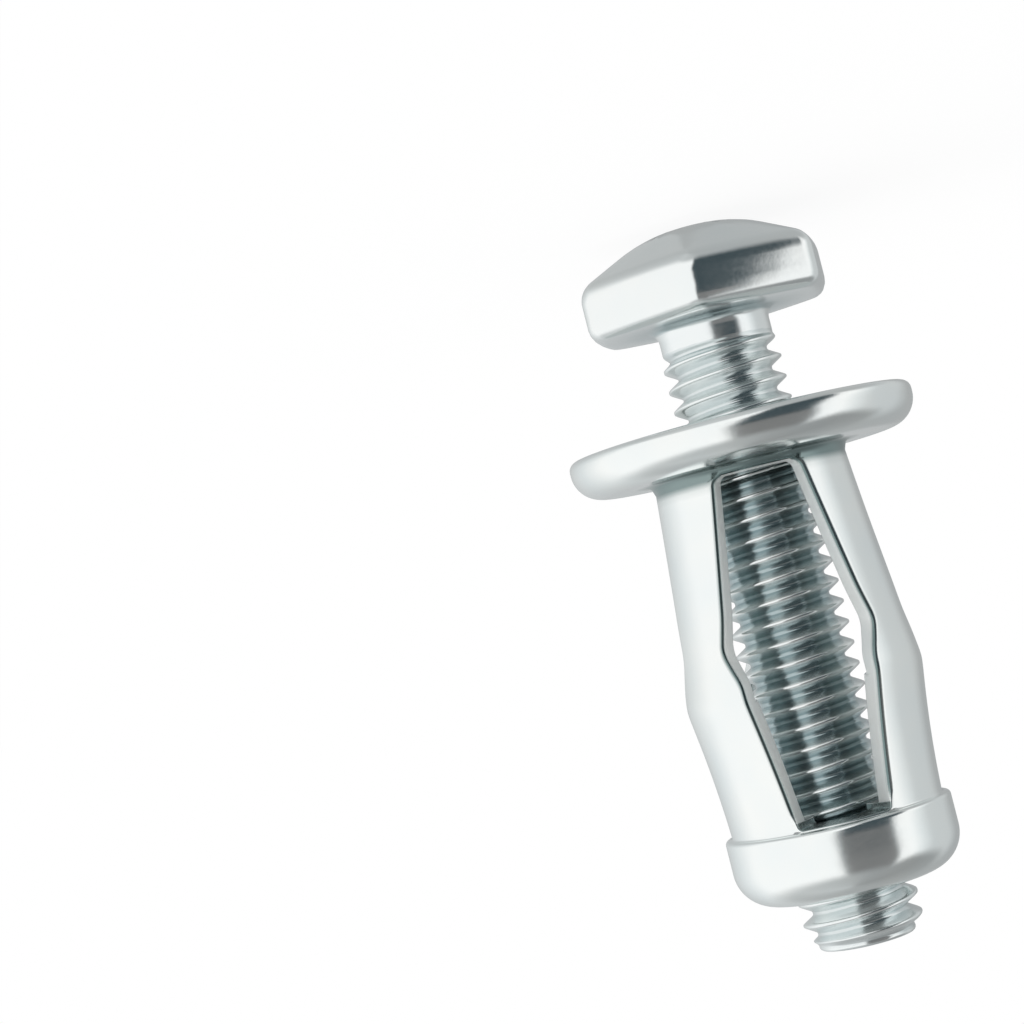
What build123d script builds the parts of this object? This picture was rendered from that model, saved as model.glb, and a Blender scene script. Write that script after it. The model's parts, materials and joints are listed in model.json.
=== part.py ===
from build123d import *
from math import asin, cos, radians, sin, tan
import os

# A jack nut: a one-piece flanged cage nut with slotted, bowed legs, and the hexagon screw that pulls
# its threaded end towards the flange. Millimetres. The screw stands on its head: Z runs from the middle
# of the head's top face, which is the origin, up along the screw to its tip.

# Hexagon screw
head_flats = 7.95         # across the flats
head_height = 3.1
head_bevel_width = 1.9    # sloped band round the top of the head, seen from above
head_bevel_height = 1.3
head_rounding = 0.6       # soft forged edges of the top and the corners
head_lower_rounding = 0.45
head_turn = 7.5           # degrees, from a corner facing -Y towards +X
screw_length = 21.17      # under the head
thread_diameter = 3.94    # crests of the M4 thread
neck_diameter = 3.7       # plain stretch under the head
neck_length = 0.9
neck_cone = 0.25          # small slope where the neck meets the head
tip_diameter = 3.24       # plain end of the thread
tip_length = 0.5
tip_cone = 0.35           # slope from the thread down to the plain end

# Cage nut, from the flange to the threaded collar
flange_gap = 3.56         # from the head's underside to the flange
flange_diameter = 11.65
flange_thickness = 1.4
flange_face_bevel = 0.2
flange_back_rounding = 0.98
flange_hole_clearance = 0.22
flange_hole_chamfer = 0.15
legs_length = 12.0        # from the flange's back to the collar
sleeve_diameter = 6.4     # outside, where the legs leave the flange
sleeve_root_fillet = 0.32
sleeve_flare = 4.3        # degrees, how far the legs lean outwards as they leave the flange
bow_diameter = 8.02       # outside, over the knees of the legs
bow_share = 0.63          # how far along the legs the knees are
knee_rounding = 3.0
tail_diameter = 7.08      # outside, where the legs meet the collar
tail_flare = 2.3          # degrees, how far they lean outwards as they leave it
wall = 0.6                # of the legs up to the knee
tail_wall_step = 0.14     # how much thicker the legs are past the knee
collar_diameter = 7.6
collar_length = 2.4
collar_step_bevel = 0.15
collar_end_land = 0.29    # flat ring left between the bore's chamfer and the rounded end
bore_clearance = 0.04     # radial, between the nut's bore and the thread's crests
bore_chamfer = 0.25
ledge_depth = 0.25        # how far the collar's solid end reaches in past the windows

# Windows between the legs
window_count = 3
window_start = 0.35       # from the flange's back to the window's edge
window_end = 0.07         # from the window's far edge to the collar
window_start_width = 2.79
window_before_waist_width = 4.84   # these three are measured on the knees' circle
window_waist_width = 5.25
window_after_waist_width = 4.39
window_end_width = 3.0
window_waist_share = 0.476         # how far along the window its widest place is
window_waist_rise = 1.05           # from the widest place back towards the flange, where the sides bend out
window_waist_fall = 1.1            # and on towards the collar
window_corner_rounding = 0.25
window_side_rounding = 0.5

same_place = 0.001        # how close two edges lie to count as being at one height

# Places along Z that follow from these
underside_z = head_height
tip_z = underside_z + screw_length
flange_z = underside_z + flange_gap
flange_back_z = flange_z + flange_thickness
collar_z = flange_back_z + legs_length
collar_end_z = collar_z + collar_length
knee_z = flange_back_z + bow_share * legs_length
ledge_z = collar_z - window_end - ledge_depth
window_start_z = flange_back_z + window_start
window_end_z = collar_z - window_end
window_waist_z = window_start_z + window_waist_share * (window_end_z - window_start_z)
window_before_waist_z = window_waist_z - window_waist_rise
window_after_waist_z = window_waist_z + window_waist_fall

# Radii that follow from these
thread_radius = thread_diameter / 2
bore_radius = thread_radius + bore_clearance
hole_radius = thread_radius + flange_hole_clearance
flange_radius = flange_diameter / 2
collar_radius = collar_diameter / 2
root_radius = sleeve_diameter / 2
bow_radius = bow_diameter / 2
tail_radius = tail_diameter / 2
collar_end_rounding = collar_radius - bore_radius - bore_chamfer - collar_end_land


def turned(outline):
    """Turn a closed outline in the XZ plane, X being the radius, about the Z axis."""
    return revolve(make_face(outline), axis=Axis.Z)


def at(radius, z):
    """A point of a turned outline."""
    return (radius, 0, z)


def corner_at(outline_face, radius, z):
    """The corner of a turned outline's face at this radius and height."""
    return outline_face.vertices().sort_by_distance(Vector(*at(radius, z)))[0]


def hexagon_head():
    """A hexagon with a sloped band round its top, which faces down, and soft edges all over."""
    corner_angle = head_turn - 90
    hexagon = RegularPolygon(head_flats / 2, 6, major_radius=False, rotation=corner_angle)
    body = extrude(hexagon, head_height)
    top = body.faces().sort_by(Axis.Z)[0]
    body = chamfer(top.edges(), head_bevel_width, head_bevel_height, reference=top)
    underside_edges = body.faces().sort_by(Axis.Z)[-1].edges()
    upper_edges = body.edges() - underside_edges
    body = fillet(upper_edges, head_rounding)
    underside_edges = body.faces().sort_by(Axis.Z)[-1].edges()
    return fillet(underside_edges, head_lower_rounding)


def screw_shank():
    """The neck, the thread as a plain cylinder over its crests, and the plain tip."""
    inside_head_z = underside_z - head_height / 2
    neck_radius = neck_diameter / 2
    tip_radius = tip_diameter / 2
    neck_z = underside_z + neck_length
    cone_z = tip_z - tip_length
    outline = Polyline(
        at(0, inside_head_z),
        at(neck_radius + neck_cone, inside_head_z),
        at(neck_radius + neck_cone, underside_z),
        at(neck_radius, underside_z + neck_cone),
        at(neck_radius, neck_z),
        at(thread_radius, neck_z + thread_radius - neck_radius),
        at(thread_radius, cone_z - tip_cone),
        at(tip_radius, cone_z),
        at(tip_radius, tip_z),
        at(0, tip_z),
        close=True,
    )
    return turned(outline)


def hex_screw():
    """The head and the shank."""
    return hexagon_head() + screw_shank()


def cage_outline():
    """The section of the whole cage before its windows are cut: flange, bowed sleeve and collar."""
    bow_inner_radius = bow_radius - wall
    tail_inner_radius = tail_radius - wall - tail_wall_step
    bow_tail_inner_radius = bow_inner_radius - tail_wall_step
    root_way = (sin(radians(sleeve_flare)), 0, cos(radians(sleeve_flare)))
    tail_way = (sin(radians(tail_flare)), 0, -cos(radians(tail_flare)))
    root = at(root_radius, flange_back_z)
    knee = at(bow_radius, knee_z)
    tail = at(tail_radius, collar_z)
    inner_tail = at(tail_inner_radius, ledge_z)
    inner_knee_below = at(bow_tail_inner_radius, knee_z)
    inner_knee = at(bow_inner_radius, knee_z)
    inner_root = at(root_radius - wall, flange_back_z)
    outline = [
        TangentArc(root, knee, tangent=root_way),
        TangentArc(tail, knee, tangent=tail_way),
        Polyline(
            tail,
            at(collar_radius, collar_z),
            at(collar_radius, collar_end_z),
            at(bore_radius + bore_chamfer, collar_end_z),
            at(bore_radius, collar_end_z - bore_chamfer),
            at(bore_radius, ledge_z),
            inner_tail,
        ),
        TangentArc(inner_tail, inner_knee_below, tangent=tail_way),
        Line(inner_knee_below, inner_knee),
        TangentArc(inner_root, inner_knee, tangent=root_way),
        Polyline(
            inner_root,
            at(hole_radius, flange_back_z - wall),
            at(hole_radius, flange_z + flange_hole_chamfer),
            at(hole_radius + flange_hole_chamfer, flange_z),
            at(flange_radius, flange_z),
            at(flange_radius, flange_back_z),
            root,
        ),
    ]
    return outline


def sleeve_blank():
    """The cage before its windows are cut, with its rims, root and knee softened."""
    section = make_face(cage_outline())
    for soften, radius, z, size in (
        (chamfer, flange_radius, flange_z, flange_face_bevel),
        (fillet, flange_radius, flange_back_z, flange_back_rounding),
        (fillet, root_radius, flange_back_z, sleeve_root_fillet),
        (fillet, bow_radius, knee_z, knee_rounding),
        (chamfer, collar_radius, collar_z, collar_step_bevel),
        (fillet, collar_radius, collar_end_z, collar_end_rounding),
    ):
        section = soften(corner_at(section, radius, z), size)
    return revolve(section, axis=Axis.Z)


def window_outline(y):
    """The window where it crosses the plane at this distance in front of the axis."""
    right_side = [
        (y * tan(asin(width / 2 / radius)), -y, z)
        for width, radius, z in (
            (window_start_width, root_radius, window_start_z),
            (window_before_waist_width, bow_radius, window_before_waist_z),
            (window_waist_width, bow_radius, window_waist_z),
            (window_after_waist_width, bow_radius, window_after_waist_z),
            (window_end_width, tail_radius, window_end_z),
        )
    ]
    left_side = [(-x, y, z) for x, y, z in reversed(right_side)]
    return Polyline(*right_side, *left_side, close=True)


def edges_through(wedge, z):
    """The wedge's edges at this height that run through the wall."""
    level = wedge.edges().filter_by_position(Axis.Z, z - same_place, z + same_place)
    return [edge for edge in level if edge.bounding_box().size.Y > wall]


def window_cutter():
    """A wedge that narrows towards the axis, so that the window's walls are square to the sleeve."""
    inner_y = thread_radius / 2
    outer_y = (bow_radius + flange_radius) / 2
    wedge = loft([make_face(window_outline(inner_y)), make_face(window_outline(outer_y))], ruled=True)
    for z, size in (
        (window_before_waist_z, window_side_rounding),
        (window_waist_z, window_side_rounding),
        (window_after_waist_z, window_side_rounding),
        (window_start_z, window_corner_rounding),
        (window_end_z, window_corner_rounding),
    ):
        wedge = fillet(edges_through(wedge, z), size)
    return wedge


def cage_nut():
    """The cage with its windows cut, leaving a leg between each pair."""
    windows = PolarLocations(0, window_count) * window_cutter()
    return sleeve_blank() - windows


os.makedirs("parts", exist_ok=True)
for name, build in (("hex_screw", hex_screw), ("cage_nut", cage_nut)):
    solid = build()
    export_step(solid, f"parts/{name}.step")
    print(name, round(solid.volume, 3), solid.is_valid)
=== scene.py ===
"""A jack nut: a zinc-plated cage nut with bowed legs on a hexagon screw, which stands on its head.

Run as a script, this registers the add-on's classes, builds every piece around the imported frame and
sets up the stage. Lengths are metres unless a name says otherwise. Z runs from the head to the tip.
"""

import json
import math

import bpy
import numpy as np
from bpy.props import FloatProperty, FloatVectorProperty, IntProperty, PointerProperty
from mathutils import Matrix, Vector


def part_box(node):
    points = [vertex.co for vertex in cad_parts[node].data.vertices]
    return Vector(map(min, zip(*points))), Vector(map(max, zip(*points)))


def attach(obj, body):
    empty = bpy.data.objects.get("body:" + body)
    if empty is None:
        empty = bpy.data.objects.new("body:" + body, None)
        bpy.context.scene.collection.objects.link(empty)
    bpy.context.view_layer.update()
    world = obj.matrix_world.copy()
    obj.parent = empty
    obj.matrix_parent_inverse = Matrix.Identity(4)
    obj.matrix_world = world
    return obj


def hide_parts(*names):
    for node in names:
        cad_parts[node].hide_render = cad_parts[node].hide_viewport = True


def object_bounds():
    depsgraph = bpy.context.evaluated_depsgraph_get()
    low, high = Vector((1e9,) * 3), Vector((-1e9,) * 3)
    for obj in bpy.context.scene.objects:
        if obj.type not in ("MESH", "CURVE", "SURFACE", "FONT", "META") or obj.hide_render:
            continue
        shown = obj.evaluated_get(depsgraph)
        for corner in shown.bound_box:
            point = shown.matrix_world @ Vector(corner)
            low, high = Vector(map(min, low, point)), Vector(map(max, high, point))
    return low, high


bl_info = {
    "name": "Jack nut",
    "version": (1, 0, 0),
    "blender": (4, 5, 0),
    "location": "3D View > Sidebar > Jack nut",
    "description": "Builds a zinc-plated jack nut: a cage nut with bowed legs on a hexagon screw",
    "category": "Add Mesh",
}

MM = 0.001

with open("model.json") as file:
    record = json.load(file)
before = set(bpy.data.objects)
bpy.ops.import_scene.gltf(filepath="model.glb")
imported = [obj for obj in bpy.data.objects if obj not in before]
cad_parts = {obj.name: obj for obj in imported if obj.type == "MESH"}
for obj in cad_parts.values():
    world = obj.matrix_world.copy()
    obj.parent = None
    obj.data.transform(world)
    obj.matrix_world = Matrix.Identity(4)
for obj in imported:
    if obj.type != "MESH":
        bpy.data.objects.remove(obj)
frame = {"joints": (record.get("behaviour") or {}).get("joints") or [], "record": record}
cad_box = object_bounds()
mounts = {mount["name"]: mount for mount in frame["record"]["mounts"]}
cage_low, cage_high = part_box("cage_nut")

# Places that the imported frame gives
UNDERSIDE_Z = mounts["head_underside"]["pos_m"][2]
FLANGE_Z = mounts["flange_face"]["pos_m"][2]
FLANGE_BACK_Z = mounts["flange_back"]["pos_m"][2]
COLLAR_Z = frame["joints"][0]["pos_m"][2]
COLLAR_END_Z = cage_high.z
TIP_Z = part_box("hex_screw")[1].z
FLANGE_RADIUS = (cage_high.x - cage_low.x) / 2
COLLAR_RADIUS = mounts["collar_through_panel"]["dims"]["r_mm"] * MM


# ---------------- shared shapes

AREA_WEIGHT = 60  # how strongly large faces set the direction of the shading


def rounded_path(*corners):
    """Points of an outline whose corners are rounded.

    Each corner is (x, y, rounding, steps). It becomes an arc tangent to both of its sides, which
    starts rounding * tan(half the turn) before the corner. The first and last corners only give
    directions and are left out.
    """
    points = []
    for before, corner, after in zip(corners, corners[1:], corners[2:]):
        place = np.array(corner[:2])
        way_in = place - np.array(before[:2])
        way_out = np.array(after[:2]) - place
        way_in = way_in / np.linalg.norm(way_in)
        way_out = way_out / np.linalg.norm(way_out)
        rounding, steps = corner[2:]
        if rounding == 0:
            points.append(place[None])
            continue
        turn = math.atan2(way_in[0] * way_out[1] - way_in[1] * way_out[0], way_in @ way_out)
        side = np.array([-way_in[1], way_in[0]]) * math.copysign(1, turn)
        start = place - way_in * rounding * math.tan(abs(turn) / 2)
        angle = np.linspace(0, abs(turn), steps + 1)[:, None]
        points.append(start + rounding * (np.sin(angle) * way_in + (1 - np.cos(angle)) * side))
    return np.concatenate(points)


def divided(points, longest):
    """The same outline with points added so that no stretch is longer than this."""
    lengths = np.linalg.norm(np.diff(points, axis=0), axis=1)
    pieces = np.maximum(np.ceil(lengths / longest).astype(int), 1)
    start = np.repeat(np.arange(len(pieces)), pieces)
    within = np.arange(pieces.sum()) - np.repeat(np.cumsum(pieces) - pieces, pieces)
    share = (within / pieces[start])[:, None]
    along = points[start] * (1 - share) + points[start + 1] * share
    return np.concatenate([along, points[-1:]])


def soft_clip(value, softness):
    """The value held between 0 and 1, its two corners rounded as hyperbolas."""
    lower = np.sqrt(value**2 + softness**2)
    upper = np.sqrt((value - 1) ** 2 + softness**2)
    return (lower - upper + 1) / 2


def soft_least(first, second, softness):
    """The smaller of the two, with the corner where they cross rounded as a hyperbola."""
    return (first + second) / 2 - np.sqrt(((first - second) / 2) ** 2 + softness**2)


def smooth_step(value, start, end):
    """0 before start, 1 after end, and 3t^2 - 2t^3 between."""
    t = np.clip((value - start) / (end - start), 0, 1)
    return t * t * (3 - 2 * t)


def heading(angle):
    """Unit directions (x, y) at these angles."""
    return np.stack([np.cos(angle), np.sin(angle)], axis=-1)


def unit(vectors):
    """The vectors at length 1."""
    return vectors / np.linalg.norm(vectors, axis=1)[:, None]


def along_loop(loop):
    """Unit directions along a closed loop of points, from each one's neighbour to the next."""
    return unit(np.roll(loop, -1, axis=0) - np.roll(loop, 1, axis=0))


def turned_points(radius, z, angle):
    """Points at these radii and heights, turned to these angles about the Z axis."""
    radius, z, angle = np.broadcast_arrays(radius, z, angle)
    return np.stack([radius * np.cos(angle), radius * np.sin(angle), z], axis=-1)


def grid_quads(index):
    """Quads between the rows and columns of a grid of vertex numbers, facing outwards if turned."""
    return np.stack([index[:-1, :-1], index[:-1, 1:], index[1:, 1:], index[1:, :-1]], axis=-1)


def closed_columns(index):
    """The grid with its first column repeated at the end, so that it closes on itself."""
    return np.concatenate([index, index[:, :1]], axis=1)


def split_faces(quads):
    """Whole quads, and the triangles left by quads with one side shrunk to a point."""
    quads = quads.reshape(-1, 4)
    shrunk = quads == np.roll(quads, -1, axis=1)
    sides = 4 - shrunk.sum(axis=1)
    thin = quads[sides == 3]
    dropped = shrunk[sides == 3].argmax(axis=1)[:, None]
    kept = (dropped + np.arange(1, 4)) % 4
    return quads[sides == 4], np.take_along_axis(thin, kept, axis=1)


def add_mesh(name, material, points, faces):
    """An object at the origin with this material, points and faces."""
    mesh = bpy.data.meshes.new(name)
    mesh.from_pydata(points.tolist(), [], faces)
    mesh.materials.append(material)
    made = bpy.data.objects.new(name, mesh)
    bpy.context.scene.collection.objects.link(made)
    return made


def add_piece(name, material, values, points, quads, triangles=np.zeros((0, 3), int)):
    """A smooth piece with a number for each point in each named attribute, and no unused points."""
    corners = np.concatenate([quads.ravel(), triangles.ravel()])
    used, flat = np.unique(corners, return_inverse=True)
    quads, triangles = flat[: quads.size].reshape(-1, 4), flat[quads.size :].reshape(-1, 3)
    piece = add_mesh(name, material, points[used], quads.tolist() + triangles.tolist())
    for label, numbers in values.items():
        layer = piece.data.attributes.new(label, "FLOAT", "POINT")
        layer.data.foreach_set("value", np.asarray(numbers, np.float32)[used])
    piece.data.shade_smooth()
    if piece.data.validate():
        raise RuntimeError(f"{name} has faces that are not sound")
    weighted = piece.modifiers.new("Even shading", "WEIGHTED_NORMAL")
    weighted.mode = "FACE_AREA"
    weighted.weight = AREA_WEIGHT
    return piece


# ---------------- cage nut

WINDOWS = 3

# Softening of edges that hardly show
LEDGE_ROOT_ROUNDING = 0.03 * MM
LEDGE_EDGE_ROUNDING = 0.05 * MM
INSIDE_ROUNDING = 0.3 * MM
HOLE_EDGE_ROUNDING = 0.15 * MM
BORE_CHAMFER = 0.25 * MM
BORE_CHAMFER_ROUNDING = 0.08 * MM

# Where rows of faces lie
CORNER_ROWS = 7  # round each rounded corner of a window
KNEE_STEP = 0.03 * MM  # half the height over which the wall thickens at the knee
KNEE_ROWS_UP = 0.6 * MM
LEDGE_ROWS_DOWN = 0.1 * MM
LEDGE_ROWS_UP = 0.08 * MM
LONGEST_FLANGE_ROW = 0.4 * MM
LONGEST_COLLAR_ROW = 0.3 * MM
FLANGE_CLEARANCE = 1.2  # the flange's rows stop this many edge roundings before the windows
LEG_CLEARANCE = 1.4  # and a leg's columns this many beside them
BEND_SAMPLES = 13  # of the nearby widths that round the windows' bends

# Towards the collar the windows' edges lose this share of their rounding, over this stretch
EDGE_SHARPENING = 0.75
SHARPER_FROM = 0.7 * MM
SHARPEST_FROM = 0.1 * MM

# Rings of points across a window's rim: on each rounded edge, and on the cut between them. From the
# outside in, and without the first and last, how far each is a cut face and a line of painted shade
# at an edge.
EDGE_RINGS, CUT_RINGS = 6, 3
RIM_CUT = (0, 0.3, 0.6, 1, 1, 1, 1, 1, 1, 1, 0.6, 0.3, 0)
RIM_LINE = (0.4, 1, 1, 0.4, 0, 0, 0, 0, 0, 0.7, 0.7, 0.7, 0.7)
# Painted shade on the ledge at the collar end of each window, and how fast it fades in
LEDGE_DARKNESS = 0.75
LEDGE_FADE = 0.03 * MM
# The darkness in the root corner is painted shade and painted dark reflection
CORNER_FULL = 0.4  # share of the root corner's reach up the legs over which its darkness is full


def leaning_arc(start, lean, end):
    """Radius as a function of height on the circle that leaves start at this lean and meets end.

    The chord leans by b, so the arc's radius of curvature is chord / (2 sin(b - lean)), and its
    centre lies square to the starting direction.
    """
    chord = np.array(end) - np.array(start)
    bend = math.atan2(chord[0], chord[1]) - lean
    curvature_radius = np.hypot(*chord) / (2 * math.sin(bend))
    centre_r = start[0] + curvature_radius * math.cos(lean)
    centre_z = start[1] - curvature_radius * math.sin(lean)
    side = math.copysign(1, centre_r - start[0])
    return lambda z: centre_r - side * np.sqrt(curvature_radius**2 - (z - centre_z) ** 2)


def knee_height(sizes):
    """Height of the knee: its share of the way from the flange to the collar."""
    return FLANGE_BACK_Z + sizes.bow_share * (COLLAR_Z - FLANGE_BACK_Z)


def leg_arcs(sizes, inwards_start, inwards_end):
    """The two arcs of a leg, from the flange to the knee and from the collar to the knee.

    Both are moved inwards by these thicknesses.
    """
    knee, knee_z = sizes.bow_diameter / 2, knee_height(sizes)
    root = sizes.sleeve_diameter / 2 - inwards_start
    tail = sizes.tail_diameter / 2 - inwards_end
    lower = leaning_arc((root, FLANGE_BACK_Z), sizes.sleeve_flare, (knee - inwards_start, knee_z))
    upper = leaning_arc((tail, COLLAR_Z), math.pi - sizes.tail_flare, (knee - inwards_end, knee_z))
    return lower, upper


def leg_outside(sizes, z):
    """Outer radius: the smaller of the two arcs, softly."""
    lower, upper = leg_arcs(sizes, 0, 0)
    return soft_least(lower(z), upper(z), sizes.knee_softness)


def leg_inside(sizes, z):
    """Inner radius: the two arcs moved in by the wall, which thickens in a step at the knee."""
    lower, upper = leg_arcs(sizes, sizes.wall, sizes.wall + sizes.wall_step)
    knee = knee_height(sizes)
    past = smooth_step(z, knee - KNEE_STEP, knee + KNEE_STEP)
    return lower(z) * (1 - past) + upper(z) * past


def window_places(sizes):
    """Heights where the windows' sides start, bend, are widest apart, bend again and end."""
    start = FLANGE_BACK_Z + sizes.window_start
    end = COLLAR_Z - sizes.window_end
    waist = start + sizes.waist_share * (end - start)
    return start, waist - sizes.waist_rise, waist, waist + sizes.waist_fall, end


def window_rows(sizes):
    """Heights of the rows along the windows on the outside, and (radius, height) on the inside.

    The rows crowd at the rounded corners, at the widest place, at the knee and at the ledge of the
    collar, where the inside runs square across from the leg to the bore.
    """
    start, before_waist, waist, after_waist, end = window_places(sizes)
    knee, ledge, bend = knee_height(sizes), end - sizes.ledge_depth, sizes.side_softness
    quarter = np.linspace(0, math.pi / 2, CORNER_ROWS)
    below = [start + sizes.window_corner_rounding * (1 - np.cos(quarter))]
    height = start + sizes.window_corner_rounding
    for next_height, rows in (
        (before_waist - bend, 19), (before_waist + bend, 5), (waist - bend, 4), (waist + bend, 7),
        (after_waist - bend, 4), (knee - KNEE_STEP, 8), (knee + KNEE_STEP, 3),
        (knee + KNEE_ROWS_UP, 5), (ledge - LEDGE_ROWS_DOWN, 15),
    ):
        below.append(np.linspace(height, next_height, rows + 1)[1:])
        height = next_height
    below = np.concatenate(below)
    inner_below = np.stack([leg_inside(sizes, below), below], axis=1)
    tail_inside = float(leg_inside(sizes, np.array(ledge)))
    shelf = rounded_path(
        (tail_inside, ledge - LEDGE_ROWS_DOWN, 0, 0),
        (tail_inside, ledge, LEDGE_ROOT_ROUNDING, 2),
        (sizes.bore_radius, ledge, LEDGE_EDGE_ROUNDING, 3),
        (sizes.bore_radius, ledge + LEDGE_ROWS_UP, 0, 0),
    )
    shelf_z = np.linspace(ledge - LEDGE_ROWS_DOWN, ledge + LEDGE_ROWS_UP, len(shelf) + 2)[1:-1]
    above = end - sizes.window_end_rounding * (1 - np.cos(quarter[::-1]))
    inner_above = np.stack([np.full_like(above, sizes.bore_radius), above], axis=1)
    outer_z = np.concatenate([below, shelf_z, above])
    return outer_z, np.concatenate([inner_below, shelf, inner_above])


def window_half_angle(sizes, z):
    """Half of the window's angle at each height.

    The tangent of the angle runs straight between the five places where the sides start, bend and
    end, and is averaged over a short stretch on either side of each height, which rounds the bends.
    Near each end an arc's inset is taken off the half width.
    """
    places = window_places(sizes)
    waist_widths = sizes.before_waist_width, sizes.waist_width, sizes.after_waist_width
    widths = np.array([sizes.window_start_width, *waist_widths, sizes.window_end_width])
    diameters = [sizes.sleeve_diameter, *[sizes.bow_diameter] * 3, sizes.tail_diameter]
    tangents = np.tan(np.arcsin(widths / diameters))
    nearby = np.linspace(-1, 1, BEND_SAMPLES)[:, None] * sizes.side_softness
    angle = np.arctan(np.interp(z + nearby, places, tangents).mean(axis=0))
    radius = leg_outside(sizes, z)

    def inset(away, rounding):
        inside = np.clip(rounding - away, 0, rounding)
        return rounding - np.sqrt(rounding**2 - inside**2)

    taken = inset(z - places[0], sizes.window_corner_rounding)
    taken = taken + inset(places[-1] - z, sizes.window_end_rounding)
    return np.arcsin(np.sin(angle) - taken / radius)


def cage_section(sizes):
    """The cage's closed section as (radius, height) rows, anticlockwise, with the windows' rows.

    Returns the section, the row numbers of the outer wall from flange to collar, and those of the
    inner wall in the same order.
    """
    outer_z, inner = window_rows(sizes)
    outer = np.stack([leg_outside(sizes, outer_z), outer_z], axis=1)
    bore = sizes.bore_radius
    hole = bore + sizes.hole_extra
    root = sizes.sleeve_diameter / 2
    flange = rounded_path(
        (*inner[0], 0, 0),
        (root - sizes.wall, FLANGE_BACK_Z, INSIDE_ROUNDING, 3),
        (hole, FLANGE_BACK_Z - sizes.wall, INSIDE_ROUNDING, 3),
        (hole, FLANGE_Z, HOLE_EDGE_ROUNDING, 4),
        (FLANGE_RADIUS, FLANGE_Z, sizes.flange_face_rounding, 6),
        (FLANGE_RADIUS, FLANGE_BACK_Z, sizes.flange_back_rounding, 14),
        (root, FLANGE_BACK_Z, sizes.root_fillet, 6),
        (*outer[0], 0, 0),
    )
    collar = rounded_path(
        (*outer[-1], 0, 0),
        (sizes.tail_diameter / 2, COLLAR_Z, 0, 0),
        (COLLAR_RADIUS, COLLAR_Z, sizes.collar_step_rounding, 5),
        (COLLAR_RADIUS, COLLAR_END_Z, sizes.collar_end_rounding, 16),
        (bore + BORE_CHAMFER, COLLAR_END_Z, BORE_CHAMFER_ROUNDING, 3),
        (bore, COLLAR_END_Z - BORE_CHAMFER, BORE_CHAMFER_ROUNDING, 3),
        (*inner[-1], 0, 0),
    )
    flange = divided(flange, LONGEST_FLANGE_ROW)
    flange = flange[flange[:, 1] < outer_z[0] - FLANGE_CLEARANCE * sizes.outer_edge_rounding]
    collar = divided(collar, LONGEST_COLLAR_ROW)
    section = np.concatenate([flange, outer, collar, inner[::-1]])
    outer_rows = len(flange) + np.arange(len(outer))
    inner_rows = len(section) - 1 - np.arange(len(inner))
    return section, outer_rows, inner_rows


def section_normals(section):
    """Outward directions (radius, height), square to the line between each row's two neighbours."""
    along = along_loop(section)
    return np.stack([along[:, 1], -along[:, 0]], axis=1)


def edge_arc(corner, away, outwards, rounding):
    """A rounded edge: corner + rounding * (away * (1 - sin) - outwards * (1 - cos)) of an angle.

    The angle runs over a quarter turn. The edge is also sunk by the part away's square over twice
    the distance from the Z axis, as the wall curves.
    """
    angle = np.linspace(0, math.pi / 2, EDGE_RINGS)[:, None, None]
    cos, sin = np.cos(angle), np.sin(angle)
    aside = rounding[None, :, None] * away * (1 - sin)
    sunk = (aside[..., :2] ** 2).sum(axis=-1) / (2 * np.hypot(corner[:, 0], corner[:, 1]))
    return corner + aside - outwards * (rounding[None, :, None] * (1 - cos) + sunk[..., None])


def window_rim(points, normals, outer_loop, inner_loop, rounding_out, rounding_in):
    """Rings of points through the wall round a window, from its outer edge to its inner one.

    Each loop of corners has a direction away from the hole, square to the loop and to the surface.
    The edge is a quarter turn from the surface to the cut, and the cut runs straight between.
    """

    def edge(loop, turn, rounding):
        away = unit(np.cross(along_loop(points[loop]), normals[loop]) * turn)
        return edge_arc(points[loop], away, normals[loop], rounding)

    outer_edge = edge(outer_loop, 1, rounding_out)
    inner_edge = edge(inner_loop, -1, rounding_in)[::-1]
    share = np.linspace(0, 1, CUT_RINGS + 2)[1:-1, None, None]
    cut = outer_edge[-1] * (1 - share) + inner_edge[0] * share
    return np.concatenate([outer_edge, cut, inner_edge])


def cage_angles(sizes, section, outer_rows, inner_rows):
    """Angles of the cage's points, one row for each row of the section.

    The section is turned in three sectors. Each has a window's columns, which spread with its half
    angle at each row, and a leg's columns between that window and the next.
    """
    half = window_half_angle(sizes, section[outer_rows, 1])
    collar_rows = inner_rows[-1] - outer_rows[-1] - 1
    half = np.concatenate(
        [np.full(outer_rows[0], half[0]), half, np.full(collar_rows, half[-1]), half[::-1]]
    )[:, None]
    sector = 2 * math.pi / WINDOWS
    past_edge = half + sizes.outer_edge_rounding * LEG_CLEARANCE / section[:, :1]
    window = half * np.linspace(-1, 1, sizes.window_columns + 1)
    leg = past_edge + (sector - 2 * past_edge) * np.linspace(0, 1, sizes.leg_columns - 1)
    centres = -math.pi / 2 + sector * np.arange(WINDOWS)
    angle = centres[None, :, None] + np.concatenate([window, leg], axis=1)[:, None, :]
    return angle.reshape(len(section), -1)


def loop_round(index, rows, first, last):
    """The vertex numbers round a window on one wall, between these rows and columns of the grid."""
    columns = np.arange(first, last + 1)
    start, end = index[rows[0], columns], index[rows[-1], columns[-2::-1]]
    return np.concatenate([start, index[rows[1:], last], end, index[rows[-2:0:-1], first]])


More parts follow.
